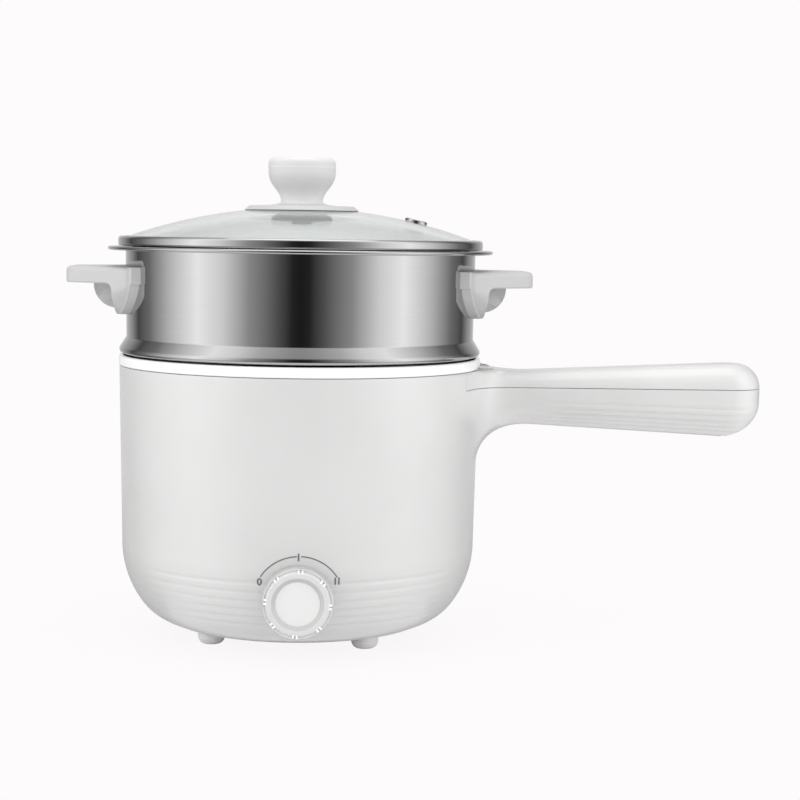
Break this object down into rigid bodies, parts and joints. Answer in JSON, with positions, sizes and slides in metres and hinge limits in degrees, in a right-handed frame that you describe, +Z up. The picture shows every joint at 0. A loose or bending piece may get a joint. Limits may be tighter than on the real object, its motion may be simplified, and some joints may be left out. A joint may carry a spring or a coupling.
{
  "type": "multicooker",
  "caption": "Electric multicooker: round white housing with a long side handle and a control knob, lift-off steel steamer tier with side ears, and a lift-off domed glass lid.",
  "frame": {"origin": "on the pot's axis at table level, midway between the feet", "axes": "+Z up along the pot's axis, +X along the long handle, -Y towards the control knob"},
  "size_m": [0.3665, 0.2028, 0.2506],
  "materials": {
    "housing_plastic": "satin white",
    "ring_plastic": "gloss white",
    "knob_plastic": "satin white",
    "grey_plastic": "matt light grey",
    "black_plastic": "matt black",
    "polished_steel": "polished",
    "pot_steel": "fine brushed",
    "sheet_steel": "zinc plated",
    "hardware_steel": "plated",
    "cast_aluminium": "cast and turned",
    "foot_rubber": "matt white",
    "lead_rubber": "matt silicone",
    "lid_glass": "clear toughened"
  },
  "bodies": {
    "base": {"outer_shell": "housing_plastic", "handle_cover": "housing_plastic", "handle_screws": "hardware_steel", "rim_ring": "ring_plastic", "inner_pot": "pot_steel", "heating_plate": "cast_aluminium", "heating_element": "hardware_steel", "heat_shield": "sheet_steel", "shield_studs": "hardware_steel", "shield_nuts": "hardware_steel", "thermostat_bracket": "sheet_steel", "thermostat": "black_plastic", "thermal_fuse": "cast_aluminium", "base_plate": "housing_plastic", "base_screws": "hardware_steel", "foot_front_right": "foot_rubber", "foot_rear_right": "foot_rubber", "foot_rear_left": "foot_rubber", "foot_front_left": "foot_rubber", "rotary_switch": "black_plastic", "switch_nut": "hardware_steel", "cord_gland": "foot_rubber", "terminal_block": "black_plastic", "lead_wires": "lead_rubber"},
    "knob": {"control_knob": "knob_plastic", "control_knob_cap": "knob_plastic", "switch_shaft": "hardware_steel"},
    "steamer": {"steamer_wall": "polished_steel", "steamer_skirt": "polished_steel", "steamer_floor": "polished_steel", "ear_right": "grey_plastic", "ear_left": "grey_plastic", "ear_screws": "hardware_steel"},
    "lid": {"lid_glass": "lid_glass", "lid_rim": "polished_steel", "vent_grommet": "hardware_steel", "lid_knob": "grey_plastic", "lid_knob_cap": "grey_plastic", "lid_washer": "lead_rubber", "lid_screw": "hardware_steel"}
  },
  "joints": [
    {"name": "knob_turn", "type": "hinge", "parent": "base", "child": "knob", "pos_m": [0, -0.09314, 0.0334], "axis": [0, 1, 0], "range_deg": [-66, 66]},
    {"name": "steamer_lift", "type": "slide", "parent": "base", "child": "steamer", "axis": [0, 0, 1], "range_m": [0, 0.15]},
    {"name": "lid_lift", "type": "slide", "parent": "steamer", "child": "lid", "axis": [0, 0, 1], "range_m": [0, 0.12]}
  ]
}
